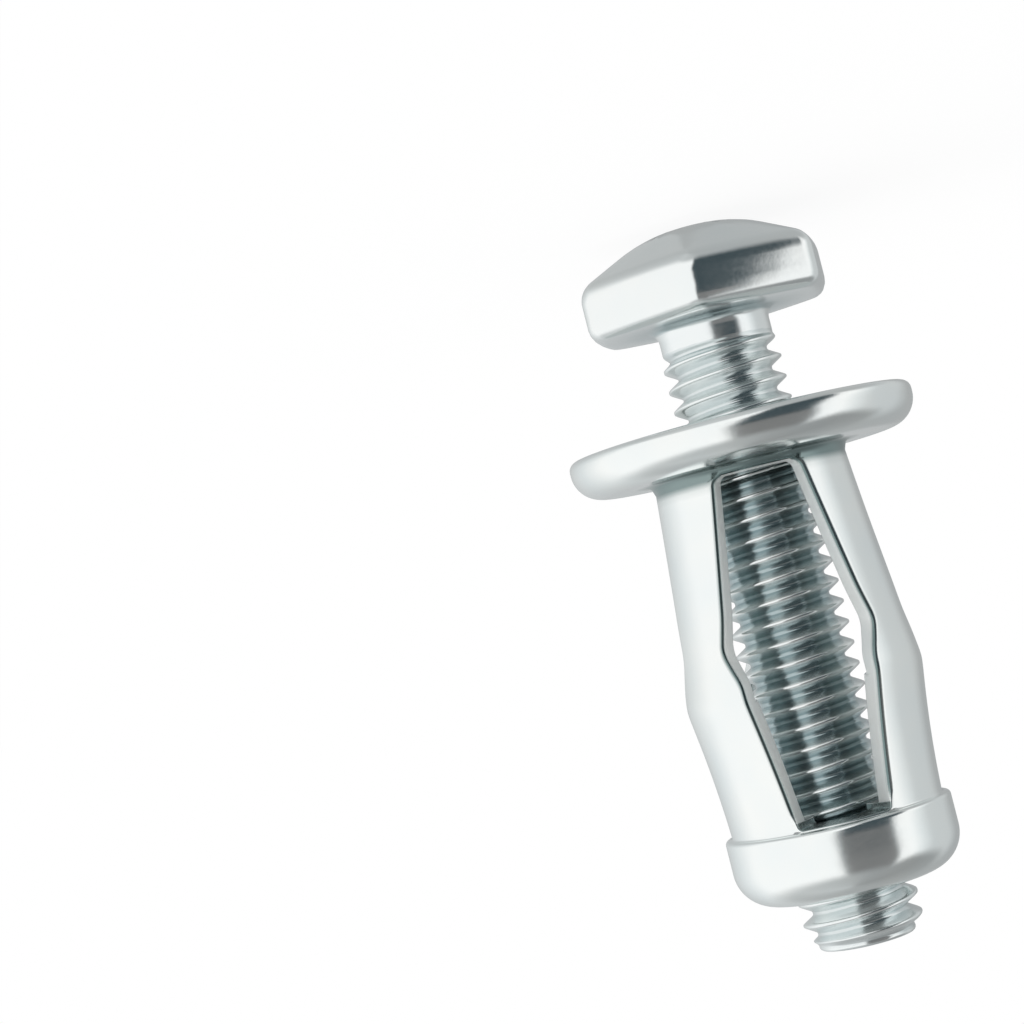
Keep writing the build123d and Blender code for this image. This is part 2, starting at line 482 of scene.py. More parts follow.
def cage_points(sizes):
    """Points, quads, and how far each point is a cut face and is darkened, for the whole cage.

    The windows' cells are left out of the turned section, and a rim is run round each window from
    the outer wall to the inner one. Shade is painted into the corner between the flange and the legs'
    roots, as lines along the windows' edges, and on the ledge.
    """
    section, outer_rows, inner_rows = cage_section(sizes)
    angle = cage_angles(sizes, section, outer_rows, inner_rows)
    outward = section_normals(section)
    points = turned_points(section[:, :1], section[:, 1:], angle).reshape(-1, 3)
    normals = turned_points(outward[:, :1], outward[:, 1:], angle).reshape(-1, 3)
    index = np.arange(len(points)).reshape(angle.shape)

    quads = grid_quads(closed_columns(np.concatenate([index, index[:1]])))
    open_cell = np.zeros(quads.shape[:2], bool)
    loops = []
    for first in range(0, angle.shape[1], sizes.window_columns + sizes.leg_columns):
        last = first + sizes.window_columns
        open_cell[outer_rows[0] : outer_rows[-1], first:last] = True
        open_cell[inner_rows[-1] : inner_rows[0], first:last] = True
        loops.append([loop_round(index, rows, first, last) for rows in (outer_rows, inner_rows)])

    inner_wall = np.zeros(len(points))
    inner_wall[index[inner_rows[-1] : inner_rows[0] + 1]] = sizes.inner_dullness
    all_points, faces = [points.copy()], [quads[~open_cell]]
    cut, line = [inner_wall], [np.zeros(len(points))]
    base = len(points)
    ledge = window_places(sizes)[-1] - sizes.ledge_depth
    for outer_loop, inner_loop in loops:
        z = points[outer_loop, 2]
        near_collar = smooth_step(z, z.max() - SHARPER_FROM, z.max() - SHARPEST_FROM)
        # Painted shade on the ledge
        on_ledge = LEDGE_DARKNESS * smooth_step(z, ledge - LEDGE_FADE, ledge + LEDGE_FADE)
        out = sizes.outer_edge_rounding * (1 - EDGE_SHARPENING * near_collar)
        inwards = np.full(len(z), sizes.inner_edge_rounding)
        rim = window_rim(points, normals, outer_loop, inner_loop, out, inwards)
        all_points[0][outer_loop] = rim[0]
        all_points[0][inner_loop] = rim[-1]
        middle = rim[1:-1].reshape(-1, 3)
        numbers = (base + np.arange(len(middle))).reshape(-1, len(z))
        base += len(middle)
        ladder = closed_columns(np.concatenate([outer_loop[None], numbers, inner_loop[None]]))
        faces.append(grid_quads(ladder))
        all_points.append(middle)
        cut.append(np.repeat(RIM_CUT, len(z)))
        # Painted shade lines along the windows' edges, fading near the collar, and painted shade on
        # the ledge
        line.append(np.maximum(np.outer(RIM_LINE, 1 - near_collar), on_ledge).ravel())
    faces = np.concatenate([f.reshape(-1, 4) for f in faces])
    points, cut, line = np.concatenate(all_points), np.concatenate(cut), np.concatenate(line)
    radius, above = np.hypot(points[:, 0], points[:, 1]), points[:, 2] - FLANGE_BACK_Z
    root, reach = sizes.sleeve_diameter / 2, sizes.corner_reach
    # Painted shade and dark reflection in the corner between the flange and the legs' roots
    beside_root = 1 - smooth_step(radius, root, root + reach)
    low = (1 - smooth_step(above, CORNER_FULL * reach, reach)) * (above > -sizes.wall / 2)
    return points, faces, cut * (1 - line), np.maximum(beside_root * low * (1 - cut), line)


# ---------------- hexagon screw

ARC_STEPS, FLAT_STEPS = 6, 10  # columns of faces round a corner of the head and across a flat
COLUMNS = 6 * (ARC_STEPS + FLAT_STEPS)
LONGEST_HEAD_ROW = 0.35 * MM
FIRST_HEAD_ROW = 1 / 8  # of the way from the pole to the sloped band
MOST_ROUNDING = 0.95  # of the distance from the axis to a flat
UNDERSIDE_ROWS = 7

FLANK_SOFTNESS = 0.06
CONE_SLOPE = 0.9  # how fast the cone at the tip widens
CONE_SOFTNESS = 0.02 * MM
CONE_END = 0.3 * MM  # last stretch of the cone, where the grooves have run out
ROW_SNAP = 0.35  # points nearer to a ring than this part of a row join it
SPARE_TURNS = 2  # of rows past each end, which the rings clip

# How strong the painted shade is, under the head and in the thread's grooves
UNDER_HEAD_DARKNESS = 0.8
UNDER_HEAD_REACH = 0.5  # above and below the underside, in neck fillets
OPEN_GROOVE_DARKNESS = 0.35  # outside the cage; inside it is 1


def hexagon_ring(apothem, rounding, crown, corner_angle):
    """Points round hexagons with rounded corners, one row for each apothem.

    A corner's arc is centred (apothem - rounding) / cos 30 degrees out and spans 60 degrees of
    normals. The flats that join the arcs bulge by crown at their middle, as a parabola.
    """
    apothem, rounding, crown = (a[:, None, None, None] for a in (apothem - crown, rounding, crown))
    corners = corner_angle + np.arange(6) * math.pi / 3
    spread = np.linspace(-math.pi / 6, math.pi / 6, ARC_STEPS + 1)
    centre = (apothem - rounding) / math.cos(math.pi / 6)
    arc = centre * heading(corners)[:, None] + rounding * heading(corners[:, None] + spread)
    share = np.linspace(0, 1, FLAT_STEPS + 1)[1:-1, None]
    flat = arc[:, :, -1:] * (1 - share) + np.roll(arc[:, :, :1], -1, axis=1) * share
    flat = flat + crown * 4 * share * (1 - share) * heading(corners + math.pi / 6)[:, None]
    return np.concatenate([arc, flat], axis=2).reshape(len(apothem), -1, 2)


def thread_height(turns_from_crest, sizes):
    """How far the thread's flank has risen: 0 at the root, 1 at the crest.

    A trapezium over one pitch, whose corners are rounded.
    """
    away = np.abs((turns_from_crest + 0.5) % 1 - 0.5)
    root_edge = 0.5 - sizes.root_share / 2
    return soft_clip((root_edge - away) / (root_edge - sizes.crest_share / 2), FLANK_SOFTNESS)


def head_rows(sizes):
    """The head's rows, from near the pole to the underside: (apothem, height), corner rounding."""
    flats = sizes.head_flats / 2
    rim = flats - sizes.head_bevel_width
    outline = rounded_path(
        (0, 0, 0, 0),
        (rim, 0, sizes.head_crown_rounding, 8),
        (flats, sizes.head_bevel_height, sizes.head_shoulder_rounding, 10),
        (flats, UNDERSIDE_Z, sizes.head_lower_rounding, 5),
        (0, UNDERSIDE_Z, 0, 0),
    )
    outline = np.concatenate([[[rim * FIRST_HEAD_ROW, 0]], outline])
    outline = divided(outline, LONGEST_HEAD_ROW)
    towards_crown = 1 - smooth_step(outline[:, 1], 0, sizes.head_bevel_height)
    above = np.arange(len(outline)) > np.argmax(outline[:, 0])
    wide = sizes.head_corner_rounding + towards_crown * sizes.head_crown_roundness
    rounding = np.where(above, sizes.head_corner_rounding, wide)
    return outline, np.minimum(rounding, outline[:, 0] * MOST_ROUNDING)


def threaded_grid(sizes, angles, first_ring, last_ring, base):
    """The thread as a grid whose rows follow the helix, clipped to a ring of points at each end.

    Height is pitch * (row + angle / turn), so the crest lies along one row of points. Radius is the
    root plus the depth times thread_height; it fades into the neck at one end, and a cone cuts the
    crests at the other. Rows past a ring collapse on to it.
    """
    pitch, rows = sizes.pitch, sizes.rows_per_pitch
    low, high = UNDERSIDE_Z + sizes.neck_length, TIP_Z - sizes.tip_rounding
    first_turn = math.floor((low - sizes.crest_z) / pitch) - SPARE_TURNS
    last_turn = math.ceil((high - sizes.crest_z) / pitch) + SPARE_TURNS
    levels = np.arange(rows) / rows
    row_turn = (np.arange(first_turn, last_turn)[:, None] + levels).ravel()[:, None]
    z = sizes.crest_z + pitch * (row_turn + angles / (2 * math.pi))
    snap = pitch / rows * ROW_SNAP
    below, above = z < low + snap, z > high - snap
    free = ~(below | above)
    number = np.zeros(z.shape, int)
    number[free] = base + np.arange(free.sum())
    number = np.where(below, first_ring, np.where(above, last_ring, number))
    wrapped = np.concatenate([number[rows:, 0], np.full(rows, last_ring[0])])
    quads = grid_quads(np.concatenate([number, wrapped[:, None]], axis=1))

    height = np.broadcast_to(thread_height(row_turn, sizes), z.shape)
    radius = sizes.thread_diameter / 2 - sizes.thread_depth * (1 - height)
    neck, tip = sizes.neck_diameter / 2, sizes.tip_diameter / 2
    radius = neck + (radius - neck) * smooth_step(z, low, low + sizes.run_out)
    radius = soft_least(radius, tip + (high - z) * CONE_SLOPE, CONE_SOFTNESS)
    radius = radius + (tip - radius) * smooth_step(z, high - CONE_END, high)
    return turned_points(radius, z, angles)[free], quads, height[free]


def screw_points(sizes):
    """Points, quads, triangles and how far each point is darkened, for the screw, pole to pole.

    Rings of the head are rounded hexagons, which change to circles across the underside. Shade is
    painted into the thread's grooves, most inside the cage, and into the underside near the neck.
    """
    corner_angle = sizes.head_turn - math.pi / 2
    angles = corner_angle + (np.arange(COLUMNS) - ARC_STEPS / 2) * 2 * math.pi / COLUMNS
    circle = heading(angles)

    outline, rounding = head_rows(sizes)
    crown = sizes.head_flat_crown * np.minimum(outline[:, 0] / outline[:, 0].max(), 1)
    head = hexagon_ring(outline[:, 0], rounding, crown, corner_angle)
    neck, tip = sizes.neck_diameter / 2, sizes.tip_diameter / 2
    inner = neck + sizes.neck_fillet
    share = np.linspace(0, 1, UNDERSIDE_ROWS + 1)[1:, None, None]
    underside = head[-1] * (1 - share) + circle * inner * share
    thread_low = UNDERSIDE_Z + sizes.neck_length
    fillet = rounded_path(
        (inner * 2, UNDERSIDE_Z, 0, 0),
        (neck, UNDERSIDE_Z, sizes.neck_fillet, 6),
        (neck, thread_low, 0, 0),
        (neck, thread_low * 2, 0, 0),
    )[1:]
    end = rounded_path((tip, 0, 0, 0), (tip, TIP_Z, sizes.tip_rounding, 4), (0, TIP_Z, 0, 0))
    end = np.concatenate([end, [[tip / 2, TIP_Z]]])

    rings = [head, underside, fillet[:, :1, None] * circle, end[:, :1, None] * circle]
    heights = [outline[:, 1], np.full(len(underside), UNDERSIDE_Z), fillet[:, 1], end[:, 1]]
    rings, heights = np.concatenate(rings), np.concatenate(heights)
    heights = np.broadcast_to(heights[:, None, None], (*rings.shape[:2], 1))
    points = np.concatenate([rings, heights], axis=2).reshape(-1, 3)
    index = np.arange(len(points)).reshape(-1, COLUMNS)
    lower, upper = index[: -len(end)], index[-len(end) :]
    thread, thread_quads, height = threaded_grid(sizes, angles, lower[-1], upper[0], len(points))
    poles = np.array([[0, 0, 0], [0, 0, TIP_Z]])
    head_pole = len(points) + len(thread)
    lower = np.concatenate([np.full((1, COLUMNS), head_pole), lower])
    upper = np.concatenate([upper, np.full((1, COLUMNS), head_pole + 1)])
    grids = [grid_quads(closed_columns(lower)), thread_quads, grid_quads(closed_columns(upper))]
    quads, triangles = split_faces(np.concatenate([q.reshape(-1, 4) for q in grids]))

    # Painted shade and painted dark reflection on the head's underside near the neck
    near_neck = 1 - smooth_step(np.hypot(points[:, 0], points[:, 1]), neck, sizes.head_flats / 2)
    under_head = np.abs(points[:, 2] - UNDERSIDE_Z) < UNDER_HEAD_REACH * sizes.neck_fillet
    # Painted shade in the thread's grooves, strongest inside the cage
    z = thread[:, 2]
    enclosed = smooth_step(z, FLANGE_Z, FLANGE_BACK_Z) - smooth_step(z, COLLAR_Z, COLLAR_END_Z)
    groove = OPEN_GROOVE_DARKNESS + (1 - OPEN_GROOVE_DARKNESS) * enclosed
    deep = [UNDER_HEAD_DARKNESS * near_neck * under_head, (1 - height) * groove, np.zeros(2)]
    return np.concatenate([points, thread, poles]), quads, triangles, np.concatenate(deep)


# ---------------- materials

# What the slow clouds of tint multiply the colour by where they are darkest and brightest
CLOUD_DARK = (0.965, 0.985, 0.99)
CLOUD_BRIGHT = (1.02, 1.015, 1.0)
CLOUD_EDGES = (0.3, 0.7)
ROUGHNESS_SPREAD = 0.06


class NodeSheet:
    """Adds nodes to a tree, with their settings and inputs given by name."""

    def __init__(self, tree):
        self.tree = tree
        tree.nodes.clear()

    def add(self, kind, settings=None, **inputs):
        """A shader node with these settings. An input is a socket to link or a value to set."""
        made = self.tree.nodes.new("ShaderNode" + kind)
        for name, value in (settings or {}).items():
            setattr(made, name, value)
        for name, value in inputs.items():
            key = int(name[1:]) if name.startswith("_") else name.replace("_", " ")
            self.put(made.inputs[key], value)
        return made

    def put(self, socket, value):
        if isinstance(value, bpy.types.NodeSocket):
            self.tree.links.new(value, socket)
        else:
            socket.default_value = value

    def math(self, operation, first, second=0.0):
        return self.add("Math", {"operation": operation}, _0=first, _1=second).outputs[0]

    def plus(self, base, value, times):
        """The base plus the value times this."""
        return self.math("ADD", base, self.math("MULTIPLY", value, times))

    def mark(self, name):
        """The number that each point of the mesh has in this attribute."""
        return self.add("Attribute", {"attribute_name": name}).outputs["Fac"]

    def noise(self, place, size, detail, roughness=0.5):
        """Smooth noise whose lumps are about this size."""
        inputs = {"Vector": place, "Scale": 1 / size, "Detail": detail, "Roughness": roughness}
        return self.add("TexNoise", **inputs).outputs["Fac"]

    def bump(self, height, distance, strength=1.0, **inputs):
        """Normals of a surface raised by the height times the distance."""
        inputs.update(Height=height, Distance=distance, Strength=strength)
        return self.add("Bump", **inputs).outputs["Normal"]

    def ramp(self, value, stops):
        """A colour ramp through (place, colour) stops."""
        made = self.add("ValToRGB", _0=value)
        band = made.color_ramp
        while len(band.elements) < len(stops):
            band.elements.new(0.5)
        for element, (place, colour) in zip(band.elements, stops):
            element.position = place
            element.color = (*colour, 1)
        return made.outputs["Color"]

    def mix(self, share, first, second, blend="MIX"):
        """The first colour where the share is 0, and the second blended with it where it is 1."""
        settings = {"data_type": "RGBA", "blend_type": blend}
        return self.add("Mix", settings, _0=share, _6=first, _7=second).outputs[2]

    def show(self, output, share, first, second):
        """Two shaders mixed, as what this kind of output shows."""
        mixed = self.add("MixShader", _0=share, _1=first, _2=second).outputs[0]
        self.add(output, Surface=mixed)

    def scaled(self, value, low, high, start=0.0, end=1.0, way="LINEAR"):
        """The value's start to end spread over low to high."""
        inputs = {"_0": value, "_1": start, "_2": end, "_3": low, "_4": high}
        return self.add("MapRange", {"interpolation_type": way}, **inputs).outputs[0]


def new_material(name):
    """A material with an empty node sheet, and its Object coordinates."""
    material = bpy.data.materials.new(name)
    material.use_nodes = True
    sheet = NodeSheet(material.node_tree)
    return material, sheet, sheet.add("TexCoord").outputs["Object"]


def zinc_plate(name, finish, colour, deep_tint, cut_mark=None):
    """Bright zinc plate: slow changes of tint, cloudy roughness, fine pickled grain and soft dents.

    The piece's attribute of painted shade marks grooves, recesses and lines along edges. There the
    plate's colour is multiplied by the shade tint, so shade is painted in. Its cut mark names the
    attribute of sheared faces, which are paler, rougher and less of a mirror.
    """
    material, sheet, place = new_material(name)
    deep = sheet.mark("deep")
    clouds = [
        (edge, [min(c * t, 1) for c, t in zip(colour, tint)])
        for edge, tint in zip(CLOUD_EDGES, (CLOUD_DARK, CLOUD_BRIGHT))
    ]
    tint = sheet.ramp(sheet.noise(place, finish.cloud_size, detail=3.0), clouds)
    # Painted shade: the colour is multiplied by the shade tint where the painted-shade attribute is
    # high
    tint = sheet.mix(deep, tint, (*deep_tint, 1), "MULTIPLY")
    grain = sheet.noise(place, finish.grain_size, detail=4.0, roughness=0.6)
    least, most = finish.roughness - ROUGHNESS_SPREAD, finish.roughness + ROUGHNESS_SPREAD
    roughness = sheet.scaled(grain, least, most)
    roughness = sheet.plus(roughness, deep, finish.deep_roughness)
    dented = sheet.bump(sheet.noise(place, finish.dent_size, detail=1.0), finish.dent_depth)
    grained = sheet.bump(grain, finish.grain_depth, Normal=dented)
    shader = sheet.add("BsdfPrincipled", Base_Color=tint, Metallic=1.0, Normal=grained)
    if cut_mark:
        cut = sheet.mark(cut_mark)
        roughness = sheet.plus(roughness, cut, finish.cut_roughness)
        sheet.put(shader.inputs["Metallic"], sheet.scaled(cut, 1.0, finish.cut_mirror))
    sheet.put(shader.inputs["Roughness"], roughness)
    sheet.add("OutputMaterial", Surface=shader.outputs["BSDF"])
    return material


# ---------------- stage

# The studio that the metal mirrors. Each pair is an angle in degrees, from the camera's side towards
# -X, and the brightness there. None is the dark card.
AROUND = (
    (-180, 0.54), (-160, 0.62), (-135, 0.78), (-105, 1), (-10, 1), (0, None), (49, None), (57, 1),
    (72, 1), (84, 0.82), (97, 0.62), (128, 0.6), (148, 0.42), (170, 0.42), (180, 0.54),
)
BELOW = ((-180, 0.5), (-90, 0.6), (-20, 0.54), (40, 0.44), (180, 0.5))
ABOVE = ((-180, 0.4), (-90, 0.56), (-20, 0.48), (30, 0.34), (90, 0.3), (180, 0.4))
STEEP = (0.58, 0.86)  # steepness over which the walls give way to what is above and below
EARLY = ((50, 0), (75, 0.2), (120, 0.2), (150, 0))  # added to the steepness at these angles
GLOW = 0.2  # least brightness of the walls above the horizon
GLOW_RISE = (0.03, 0.1)  # steepness over which it comes in
WHITE = (1, 1, 1)
COOL = (0.97, 1.0, 1.01)  # tint of all that is less than white

FLOOR_REACH = 1.5
FLOOR_GAP = 0.01 * MM
FIBRE_SIZE = MM / 0.9
FIBRE_DEPTH = 0.02 * MM
FIBRE_STRENGTH = 0.2
CLIP_START, CLIP_END = 1 * MM, 10


def studio_stops(levels, card=None):
    """Stops for a ramp from (degrees, brightness) pairs, with the card's colour for None."""
    colours = {None: card, 1: WHITE}
    return [
        (angle / 360 + 0.5, colours[level] if level in colours else [level * t for t in COOL])
        for angle, level in levels
    ]


def studio_surround(world, stage):
    """White to the camera, and a studio all round to the metal. Dull things get a plain light.

    The studio is white, with a dark card just to the -X side of the camera, greyer beyond it, and
    grey above and below. The card's upright edges lean further to -X below the horizon. The plain
    light is level * (1 + X * slant), where X is the direction's part along the X axis.
    """
    world.use_nodes = True
    sheet = NodeSheet(world.node_tree)
    way = sheet.add("TexCoord").outputs["Generated"]
    x, y, z = sheet.add("SeparateXYZ", _0=way).outputs
    camera = Vector(stage.camera_place)
    backwards = [sheet.math("MULTIPLY", part, -1.0) for part in (x, y, z)]
    side = sheet.math("ADD", sheet.math("ARCTAN2", *backwards[:2]), math.atan2(camera.x, -camera.y))
    depth = sheet.math("MAXIMUM", backwards[2], 0.0)
    side = sheet.math("SUBTRACT", side, sheet.math("MULTIPLY", depth, stage.card_lean))
    around = sheet.math("ADD", sheet.math("MULTIPLY", side, 1 / (2 * math.pi)), 0.5)

    walls = sheet.ramp(around, studio_stops(AROUND, stage.dark))
    walls = sheet.mix(1.0, walls, sheet.scaled(z, 0.0, GLOW, *GLOW_RISE), "LIGHTEN")
    below = sheet.ramp(around, studio_stops(BELOW))
    above = sheet.ramp(around, studio_stops(ABOVE))
    cap = sheet.mix(sheet.math("GREATER_THAN", z, 0.0), below, above)
    early = sheet.ramp(around, studio_stops(EARLY))
    steepness = sheet.math("ADD", sheet.math("ABSOLUTE", z), early)
    surround = sheet.mix(sheet.scaled(steepness, 0.0, 1.0, *STEEP, "SMOOTHSTEP"), walls, cap)
    path = sheet.add("LightPath").outputs
    seen = sheet.math("MAXIMUM", path["Is Camera Ray"], path["Is Transmission Ray"])
    shown = sheet.mix(seen, surround, (*WHITE, 1))
    slant = sheet.math("ADD", sheet.math("MULTIPLY", x, stage.plain_slant), 1.0)
    strength = sheet.math("MULTIPLY", slant, stage.plain_level)
    plain = sheet.add("Background", Color=(*WHITE, 1), Strength=strength)
    studio = sheet.add("Background", Color=shown, Strength=1.0)
    mirrored = sheet.math("MAXIMUM", seen, path["Is Glossy Ray"])
    sheet.show("OutputWorld", mirrored, plain.outputs[0], studio.outputs[0])


def floor_material(stage):
    """Pale paper. To the camera it is lit evenly, with part of the real shadow kept.

    The even light is set so that paper out of the shadow is just white.
    """
    material, sheet, place = new_material("Pale paper")
    fibre = sheet.noise(place, FIBRE_SIZE, detail=2.0)
    fibre = sheet.bump(fibre, FIBRE_DEPTH, FIBRE_STRENGTH)
    paper = sheet.add("BsdfDiffuse", Color=(*stage.floor_colour, 1), Normal=fibre)
    lit = stage.floor_colour[0] * stage.plain_level
    even_level = (1 - stage.shadow * lit) / (1 - stage.shadow)
    even = sheet.add("Emission", Color=(*WHITE, 1), Strength=even_level)
    camera_ray = sheet.add("LightPath").outputs["Is Camera Ray"]
    share_even = sheet.math("MULTIPLY", camera_ray, 1 - stage.shadow)
    sheet.show("OutputMaterial", share_even, paper.outputs[0], even.outputs[0])
    return material


def add_floor(stage):
    """A square of paper just under the head, wide enough to pass the horizon."""
    x, y = np.meshgrid(*[np.linspace(-FLOOR_REACH, FLOOR_REACH, 3)] * 2)
    points = np.stack([x, y, np.full_like(x, cad_box[0].z - FLOOR_GAP)], axis=-1).reshape(-1, 3)
    quads = grid_quads(np.arange(x.size).reshape(x.shape)).reshape(-1, 4)
    floor = add_mesh("Paper floor", floor_material(stage), points, quads.tolist())
    floor.visible_glossy = False


def add_camera(stage):
    """A camera that looks from its place to its aim, upside down and rolled."""
    place, aim = Vector(stage.camera_place), Vector(stage.camera_aim)
    back = (place - aim).normalized()
    down = Vector((0, 0, -1))
    up = (down - back * down.dot(back)).normalized()
    up = up * math.cos(stage.camera_roll) + up.cross(back) * math.sin(stage.camera_roll)
    camera = bpy.data.objects.new("Camera", bpy.data.cameras.new("Camera"))
    camera.data.lens = stage.lens
    camera.data.clip_start, camera.data.clip_end = CLIP_START, CLIP_END
    axes = Matrix((up.cross(back), up, back)).transposed().to_4x4()
    camera.matrix_world = Matrix.Translation(place) @ axes
    bpy.context.scene.collection.objects.link(camera)
    bpy.context.scene.camera = camera


# ---------------- settings


def setting(kind, change=lambda default: default, **limits):
    """A maker of settings of one kind, which takes a name, a description and a default."""

    def make(name, description, default):
        return kind(name=name, description=description, default=change(default), **limits)

    return make


# The defaults of sizes are in millimetres, and those of places in metres
size = setting(FloatProperty, lambda mm: mm * MM, min=0.0, precision=5, unit="LENGTH")
degrees = setting(FloatProperty, math.radians, subtype="ANGLE")
share = setting(FloatProperty, min=0.0, max=1.0, subtype="FACTOR")
count = setting(IntProperty, min=8)
colour = setting(FloatVectorProperty, min=0.0, max=1.0, size=3, subtype="COLOR")
position = setting(FloatVectorProperty, precision=5, size=3, subtype="TRANSLATION", unit="LENGTH")


class CageSizes(bpy.types.PropertyGroup):
    """Sizes of the cage nut."""

    flange_face_rounding: size("Flange front edge", "Rounding of the flange's front", 0.3)
    flange_back_rounding: size("Flange back edge", "Rounding of the flange's back", 0.98)
    hole_extra: size("Flange hole", "How much wider the hole is than the bore", 0.18)
    sleeve_diameter: size("Leg roots", "Diameter where the legs leave the flange", 6.4)
    sleeve_flare: degrees("Root flare", "Outward lean of the legs at the flange", 4.3)
    root_fillet: size("Root fillet", "Fillet between the flange and the legs", 0.32)
    bow_diameter: size("Knees", "Diameter over the knees before rounding", 8.02)
    bow_share: share("Knee place", "How far along the legs the knees are", 0.63)
    knee_softness: size("Knee rounding", "What the rounding takes off the knees", 0.034)
    tail_diameter: size("Leg tails", "Diameter where the legs meet the collar", 7.08)
    tail_flare: degrees("Tail flare", "Outward lean of the legs at the collar", 2.3)
    wall: size("Wall", "Thickness of the legs up to the knee", 0.6)
    wall_step: size("Wall step", "Added thickness past the knee", 0.14)
    bore_radius: size("Bore radius", "Radius of the collar's bore", 2.01)
    ledge_depth: size("Ledge", "Reach of the collar's solid end past the windows", 0.25)
    collar_step_rounding: size("Collar step", "Rounding of the collar's step", 0.15)
    collar_end_rounding: size("Collar end", "Rounding of the collar's end", 1.25)
    window_start: size("Window start", "From the flange's back to the windows", 0.35)
    window_end: size("Window end", "From the windows to the collar", 0.07)
    window_start_width: size("Width at flange", "Width of the windows at the flange", 2.79)
    before_waist_width: size("Width before waist", "Width at the first bend", 4.84)
    waist_width: size("Width at waist", "Width of the windows at their widest", 5.25)
    after_waist_width: size("Width after waist", "Width at the second bend", 4.39)
    window_end_width: size("Width at collar", "Width of the windows at the collar", 3.0)
    waist_share: share("Waist place", "How far along the windows are widest", 0.476)
    waist_rise: size("First bend", "From the first bend to the widest place", 1.05)
    waist_fall: size("Second bend", "From the widest place to the second bend", 1.1)
    side_softness: size("Side rounding", "Reach over which the bends are rounded", 0.25)
    window_corner_rounding: size("Flange corners", "Rounding of the corners at the flange", 0.25)
    window_end_rounding: size("Collar corners", "Rounding of the corners at the collar", 0.14)
    outer_edge_rounding: size("Outer edges", "Rounding of the windows' outer edges", 0.17)
    inner_edge_rounding: size("Inner edges", "Rounding of the windows' inner edges", 0.04)
    inner_dullness: share("Inside dullness", "How dull the inside is, next to a cut face", 0.4)
    # Reach of the painted shade in the root corner
    corner_reach: size("Corner reach", "Reach of the darkness in the root corner", 0.7)
    window_columns: count("Window columns", "Columns of faces across a window", 18)
    leg_columns: count("Leg columns", "Columns of faces across a leg", 28)


class ScrewSizes(bpy.types.PropertyGroup):
    """Sizes of the hexagon screw."""

    head_flats: size("Across flats", "Width of the hexagon across its flats", 7.95)
    head_turn: degrees("Head turn", "Turn of the hexagon's front corner from -Y", 7.5)
    head_bevel_width: size("Bevel width", "Width of the head's sloped band", 2.27)
    head_bevel_height: size("Bevel height", "Height of the head's sloped band", 1.34)
    head_crown_rounding: size("Crown rounding", "Rounding inside the sloped band", 3.4)
    head_shoulder_rounding: size("Shoulder rounding", "Rounding outside the sloped band", 0.85)
    head_crown_roundness: size("Crown roundness", "Roundness of the head's top from above", 1.08)
    head_corner_rounding: size("Corner rounding", "Rounding of the hexagon's six corners", 0.71)
    head_lower_rounding: size("Lower rounding", "Rounding of the head's lower edge", 0.465)
    head_flat_crown: size("Flat crown", "Bulge of the head's flats at their middle", 0.08)
    neck_diameter: size("Neck", "Diameter of the plain neck", 3.75)
    neck_length: size("Neck length", "Length of the plain neck", 0.8)
    neck_fillet: size("Neck fillet", "Fillet between the head and the neck", 0.4)
    thread_diameter: size("Thread", "Diameter over the thread's crests", 3.94)
    thread_depth: size("Thread depth", "From the crests to the roots", 0.41)
    pitch: size("Pitch", "Rise of the thread in one turn", 0.7)
    crest_z: size("Crest phase", "Height of a crest at angle zero", 0.27)
    crest_share: share("Crest land", "Share of the pitch that is crest", 0.125)
    root_share: share("Root land", "Share of the pitch that is root", 0.18)
    run_out: size("Run-out", "Length over which the thread fades out", 0.5)
    tip_diameter: size("Tip", "Diameter of the screw's end", 3.24)
    tip_rounding: size("Tip rounding", "Rounding of the screw's end", 0.12)
    rows_per_pitch: count("Thread rows", "Rows of faces in one turn of the thread", 18)


class ZincFinish(bpy.types.PropertyGroup):
    """The zinc plate's look."""

    cage_colour: colour("Cage colour", "Colour of the cage nut's plate", (0.92, 0.945, 0.94))
    screw_colour: colour("Screw colour", "Colour of the screw's plate", (0.9, 0.925, 0.925))
    # Painted shade: the cage's root corner, edge lines and ledge are multiplied by this colour
    corner_tint: colour("Corner tint", "Multiplies the colour in corners", (0.22, 0.29, 0.29))
    # Painted shade: the screw's grooves and the underside near the neck are multiplied by this colour
    groove_tint: colour("Groove tint", "Multiplies the colour in grooves", (0.5, 0.58, 0.6))
    deep_roughness: share("Deep roughness", "Added roughness of grooves and corners", 0.06)
    cut_roughness: share("Cut roughness", "Added roughness of sheared faces", 0.2)
    cut_mirror: share("Cut mirror", "How much of a mirror sheared faces are", 0.3)
    roughness: share("Roughness", "Roughness of the plate", 0.17)
    cloud_size: size("Cloud size", "Size of the slow changes of tint", 2.5)
    grain_size: size("Grain size", "Size of the plate's grain", 0.16)
    grain_depth: size("Grain depth", "Depth of the plate's grain", 0.0015)
    dent_size: size("Dent size", "Size of the soft dents", 1.6)
    dent_depth: size("Dent depth", "Depth of the soft dents", 0.012)


